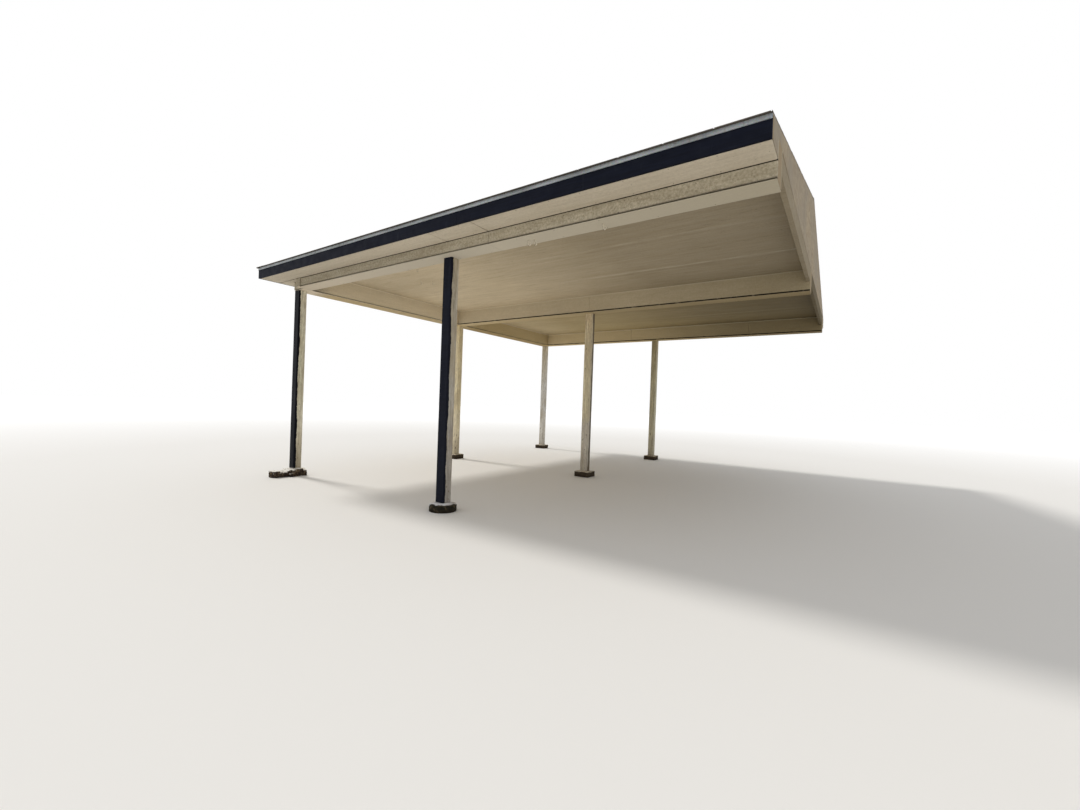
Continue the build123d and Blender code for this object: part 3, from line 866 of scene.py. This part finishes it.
def caps():
    """The caps over both hips and over the ridge."""
    mesh = bmesh.new()
    layer = mesh.verts.layers.float.new("shade")
    chance = random.Random(8)
    apex = Vector((APEX_X, 0, EAVE_Z + PITCH * RUN))
    wall = Vector((WALL_X, 0, apex.z))
    side = CAP_HALF / math.sqrt(1 + PITCH**2)
    half = CAP_HALF / math.sqrt(2)
    for turn in (-1, 1):
        corner = Vector((EAVE_X, RUN * turn, EAVE_Z))
        inner = Vector((half, half * turn, -PITCH * half))
        outer = Vector((-half, -half * turn, -PITCH * half))
        cap_row(mesh, layer, corner, apex, (inner, outer) if turn < 0 else (outer, inner), chance)
    ridge_wings = (Vector((0, -side, -side * PITCH)), Vector((0, side, -side * PITCH)))
    end = apex - AXES["x"] * RIDGE_OVER_HIPS
    cap_row(mesh, layer, wall, end, ridge_wings[::-1], chance)
    return finish_piece("cap_shingles", mesh, "shingle", ["hip_and_ridge_caps"])


def nails(name, places, facing, look="nails", radius=0.005, height=0.0016):
    """Low domed heads of nails at the given places, all facing the same way."""
    mesh = bmesh.new()
    turn = Vector(facing).to_track_quat("Z", "Y").to_matrix().to_4x4()
    for place in places:
        seat = Matrix.Translation(Vector(place) + Vector(facing) * height / 2) @ turn
        shape = {"segments": 8, "radius1": radius, "radius2": radius * 0.55, "depth": height}
        bmesh.ops.create_cone(mesh, cap_ends=True, matrix=seat, **shape)
    return finish_piece(name, mesh, look)


def spread(low, high, step, chance, scatter=0.02):
    """Places along a line at about the given step, a little uneven."""
    count = max(1, round((high - low) / step))
    steps = range(1, count)
    return [low + (high - low) * i / count + chance.uniform(-scatter, scatter) for i in steps]


# How far the nails of the soffits are from the fascia and from the beams' side
NEAR_FASCIA, NEAR_FASCIA_OUTER, NEAR_BEAM = 0.035, 0.04, 0.23
# Lines of nails along the bottom boards of the three beams, and up the face of the front one
BOTTOM_NAIL_LINES = (-3.05, -2.90, -0.1, 0.04, 2.9, 3.05)
FACE_NAIL_HEIGHTS = (2.535, 2.585)
CEILING_NAIL_SPANS = ((-2.87, -0.14), (0.08, 2.87))


def fasteners():
    """Nail heads on the edge boards, the soffits, the beams and the ceilings."""
    chance = random.Random(31)
    front, side = FASCIA[0].y - 0.0006, FASCIA[0].x - 0.0006
    low, high = FASCIA[0].z + 0.025, FASCIA[0].z + 0.08
    across = spread(side, WALL_X, 0.61, chance)
    along = spread(front, -front, 0.61, chance)
    for name, y, facing in (("front", front, -1), ("back", -front, 1)):
        places = [(x, y, z) for x in across for z in (low, high)]
        nails(f"fascia_nails_{name}", places, (0, facing, 0), "fascia")
    places = [(side, y, z) for y in along for z in (low, high)]
    nails("fascia_nails_outer", places, (-1, 0, 0), "fascia")
    down = (0, 0, -1)
    soffit, edge = SOFFIT_Z - 0.0004, abs(front)
    places = []
    for start, inset in ((side, NEAR_FASCIA), (BEAM_SIDE_X, NEAR_BEAM)):
        for x in spread(start, WALL_X, 0.3, chance):
            places += [(x, y, soffit) for y in (inset - edge, edge - inset)]
    for y in spread(front, edge, 0.3, chance):
        places += [(side + inset, y, soffit) for inset in (NEAR_FASCIA_OUTER, NEAR_BEAM)]
    nails("soffit_nails", places, down, radius=0.0035)
    bottom = BEAM_BOTTOM - 0.0004
    stations = spread(BEAM_INSIDE.x, WALL_X, 0.4, chance)
    places = [(x, y, bottom) for x in stations for y in BOTTOM_NAIL_LINES]
    nails("beam_bottom_nails", places, down, radius=0.0035)
    face = BEAM_FACE_Y - 0.0002
    stations = spread(BEAM_INSIDE.x + 0.1, WALL_X, 0.5, chance)
    places = [(x, face, z) for x in stations for z in FACE_NAIL_HEIGHTS]
    nails("beam_face_nails", places, (0, -1, 0), radius=0.0035)
    ceiling = CEILING_Z - 0.0004
    places = []
    for x in spread(BEAM_INSIDE.x, WALL_X, 0.61, chance):
        for near, far in CEILING_NAIL_SPANS:
            places += [(x, y, ceiling) for y in spread(near, far, 0.3, chance)]
    nails("ceiling_nails", places, down, "ceiling", radius=0.004)


# Screw hooks under the front beam and in the front ceiling, as seen from below
BEAM_HOOKS = ((1.134, -2.975), (1.190, -2.960), (1.849, -2.980))
CEILING_HOOKS = ((-1.065, -2.34), (-1.505, -1.90), (-1.355, -1.82))
WIRE = 0.0032
WIRE_SIDES = 6
HOOK_BEND = 0.012
HOOK_SHANK = 0.038


def wire(mesh, points):
    """Round wire along a bent line in the xz plane."""
    rings = []
    for i, point in enumerate(points):
        before, after = points[max(i - 1, 0)], points[min(i + 1, len(points) - 1)]
        along = (after - before).normalized()
        across = along.cross(AXES["y"])
        ring = []
        for k in range(WIRE_SIDES):
            turn = 2 * math.pi * k / WIRE_SIDES
            spoke = across * math.cos(turn) + AXES["y"] * math.sin(turn)
            ring.append(mesh.verts.new(point + spoke * WIRE))
        rings.append(ring)
    for here, there in zip(rings, rings[1:]):
        for k in range(WIRE_SIDES):
            j = (k + 1) % WIRE_SIDES
            mesh.faces.new((here[k], here[j], there[j], there[k]))
    mesh.faces.new(rings[0][::-1])
    mesh.faces.new(rings[-1])


def hooks(name, places, z):
    """Screw hooks: a small round plate, a shank and an open bend."""
    mesh = bmesh.new()
    for x, y in places:
        seat = Vector((x, y, z + 0.001))
        shank = [seat, seat - AXES["z"] * HOOK_SHANK]
        middle = shank[1] + AXES["x"] * HOOK_BEND
        for k in range(1, 8):
            turn = math.pi * (1 + k * 1.25 / 7)
            shank.append(middle + Vector((math.cos(turn), 0, math.sin(turn))) * HOOK_BEND)
        wire(mesh, shank)
        plate = {"segments": 12, "radius1": 0.006, "radius2": 0.005, "depth": 0.003}
        under = Matrix.Translation(seat - AXES["z"] * plate["depth"] / 2)
        bmesh.ops.create_cone(mesh, cap_ends=True, matrix=under, **plate)
    bmesh.ops.recalc_face_normals(mesh, faces=mesh.faces)
    return finish_piece(name, mesh, "hooks")


def bead(name, start, end, width, height, seed):
    """A thin hand-laid strip of filler on the ceiling, from one point to another."""
    mesh = bmesh.new()
    line = Vector(end) - Vector(start)
    side = Vector((-line.y, line.x, 0)).normalized()
    rings = []
    count = int(line.length / 0.12)
    for i in range(count + 1):
        middle = Vector(start) + line * (i / count)
        half = width / 2 * (1 + 0.45 * noise.noise(middle * 3 + AXES["x"] * seed))
        drop = AXES["z"] * -height
        profile = ((-1, 0), (-0.5, 1), (0.5, 1), (1, 0))
        rings.append([mesh.verts.new(middle + side * half * a + drop * b) for a, b in profile])
    for here, there in zip(rings, rings[1:]):
        for i in range(4):
            j = (i + 1) % 4
            mesh.faces.new((here[i], here[j], there[j], there[i]))
    mesh.faces.new(rings[0][::-1])
    mesh.faces.new(rings[-1])
    bmesh.ops.recalc_face_normals(mesh, faces=mesh.faces)
    return finish_piece(name, mesh, "ceiling")


def fillers():
    for bay, seams in CEILING_SEAMS.items():
        for i, y in enumerate(seams):
            start, end = (BEAM_INSIDE.x + 0.01, y, CEILING_Z), (WALL_X - 0.045, y, CEILING_Z)
            bead(f"ceiling_seam_{bay}_{i}", start, end, 0.03, 0.0012, i * 5)


def stage():
    """Pale floor that takes the shadow and fades to white in the distance."""
    bpy.ops.mesh.primitive_plane_add(size=FLOOR_SIZE, location=(0, 0, -0.001))
    floor = bpy.context.object
    floor.name = "floor"
    look = Look("floor", roughness=0.9)
    away = look.add("ShaderNodeVectorMath", {0: look.place}, operation="LENGTH").outputs["Value"]
    far = look.span(away, *FLOOR_FADE)
    look.tree.links.new(far, look.shader.inputs["Emission Strength"])
    look.shader.inputs["Emission Color"].default_value = (1, 1, 1, 1)
    floor.data.materials.append(look.finish(look.mix(far, FLOOR, (0, 0, 0, 1))))


def lights():
    """Surroundings that look white and light the part a little less, and one soft sun."""
    world = bpy.data.worlds.new("studio")
    bpy.context.scene.world = world
    world.use_nodes = True
    tree = world.node_tree

    def largest(a, b):
        node = tree.nodes.new("ShaderNodeMath")
        node.operation = "MAXIMUM"
        tree.links.new(a, node.inputs[0])
        tree.links.new(b, node.inputs[1])
        return node.outputs[0]

    rays = tree.nodes.new("ShaderNodeLightPath").outputs
    mirrored = largest(rays["Is Glossy Ray"], rays["Is Transmission Ray"])
    seen = largest(rays["Is Camera Ray"], mirrored)
    strength = tree.nodes.new("ShaderNodeMapRange")
    strength.inputs["To Min"].default_value = WORLD_LIGHT
    strength.inputs["To Max"].default_value = 1.0
    tree.links.new(seen, strength.inputs["Value"])
    background = tree.nodes["Background"]
    background.inputs["Color"].default_value = (1, 1, 1, 1)
    tree.links.new(strength.outputs[0], background.inputs["Strength"])
    sun = bpy.data.lights.new("sun", "SUN")
    sun.energy = SUN_STRENGTH
    sun.angle = SUN_ANGLE
    sun.color = SUN_COLOUR
    lamp = bpy.data.objects.new("sun", sun)
    lamp.rotation_euler = SUN_DIRECTION.to_track_quat("Z", "Y").to_euler()
    bpy.context.scene.collection.objects.link(lamp)


def camera():
    """Stands where the photograph was taken, with the same yaw, pitch and roll."""
    forward = Vector((-math.sin(YAW), math.cos(YAW), 0))
    right = Vector((math.cos(YAW), math.sin(YAW), 0))
    up = Vector((0, 0, 1))
    ahead = forward * math.cos(PITCH_DOWN) - up * math.sin(PITCH_DOWN)
    above = up * math.cos(PITCH_DOWN) + forward * math.sin(PITCH_DOWN)
    side = right * math.cos(ROLL) + above * math.sin(ROLL)
    top = above * math.cos(ROLL) - right * math.sin(ROLL)
    data = bpy.data.cameras.new("camera")
    data.sensor_width = SENSOR
    data.sensor_fit = "HORIZONTAL"
    data.lens = FOCAL_PX / PHOTO_WIDTH * SENSOR
    data.clip_start = 0.05
    eye = Vector((WALL_X + EYE_FROM_WALL, FASCIA[0].y - EYE_BEFORE_FASCIA, EYE_HEIGHT))
    view = bpy.data.objects.new("camera", data)
    view.matrix_world = Matrix.Translation(eye) @ Matrix((side, top, -ahead)).transposed().to_4x4()
    bpy.context.scene.collection.objects.link(view)
    bpy.context.scene.camera = view


def at(axis, *places):
    """Cuts across one axis, as boards() takes them."""
    return [(axis, place) for place in places]


def build():
    camera()
    lights()
    stage()
    for post in POST_TONES:
        dress(f"post_{post}", f"post_{post}")
    for row, joints in {"front": (-1.0, 0.764), "mid": (0.2,), "back": (-0.4, 1.9)}.items():
        boards(f"casing_{row}", "beam_x", at("x", *joints), seed=len(row))
        dress(f"beam_{row}", "front_beam_core" if row == "front" else "beam_core")
    boards("casing_outer", "beam_y", at("y", -1.4, 2.62), seed=5)
    dress("beam_outer", "side_beam_core")
    for bay, seams in CEILING_SEAMS.items():
        boards(f"ceiling_{bay}", "ceiling", at("y", *seams), shrink=(0.003, 0.002, 0), seed=6)
    thin = (0.003, 0.003, 0)
    boards("soffit_front", "soffit", at("x", -2.2, 0.24, 0.76), shrink=thin, seed=7)
    boards("soffit_back", "soffit", at("x", -0.6, 1.84), shrink=thin, seed=8)
    boards("soffit_outer", "soffit", at("y", -0.9, 1.5), shrink=thin, seed=9)
    boards("fascia_front", "fascia", at("x", 0.62), gap=0.001, seed=10)
    boards("fascia_back", "fascia", at("x", -0.3), seed=11)
    boards("fascia_outer", "fascia", at("y", 0.4), seed=12)
    boards("wall_ledger", "ceiling", seed=13)
    boards("drip_edge", "zinc", at("x", 0.9, -2.1) + at("y", 0.2),
           gap=0.0012, edge=0.0004, loose=0.0003, seed=14)
    boards("end_sheathing", "strands", at("y", -2.44, -1.22, 0, 1.22, 2.44), seed=15)
    for side in ("front", "outer", "back"):
        dress(f"roof_deck_{side}", "strands")
    for node in ("rafters", "hip_rafters", "ceiling_joists", "ridge_struts"):
        dress(node, "timber_y")
    # Dark core timber behind the fascia: painted shade in its joints.
    dress("sub_fascia", "beam_core")
    dress("ridge_board", "timber_x")
    rough_concrete("footing_front_outer", "kerb",
                   cell=0.006, depth=0.02, chip=0.09, step=0.035, seed=1)
    rough_concrete("footing_front_inner", "collar", cell=0.006, depth=0.012, chip=0.04, seed=2)
    for i, name in enumerate(("mid_outer", "mid_inner", "back_outer", "back_inner")):
        rough_concrete(f"footing_{name}", "pad", cell=0.008, depth=0.005, chip=0.014, seed=3 + i)
    for i, side in enumerate(("front", "outer", "back")):
        shingle_slope(side, 20 + i)
    caps()
    fasteners()
    fillers()
    hooks("beam_hooks", BEAM_HOOKS, BEAM_BOTTOM)
    hooks("ceiling_hooks", CEILING_HOOKS, CEILING_Z)


bpy.context.scene.view_settings.view_transform = "Standard"
build()
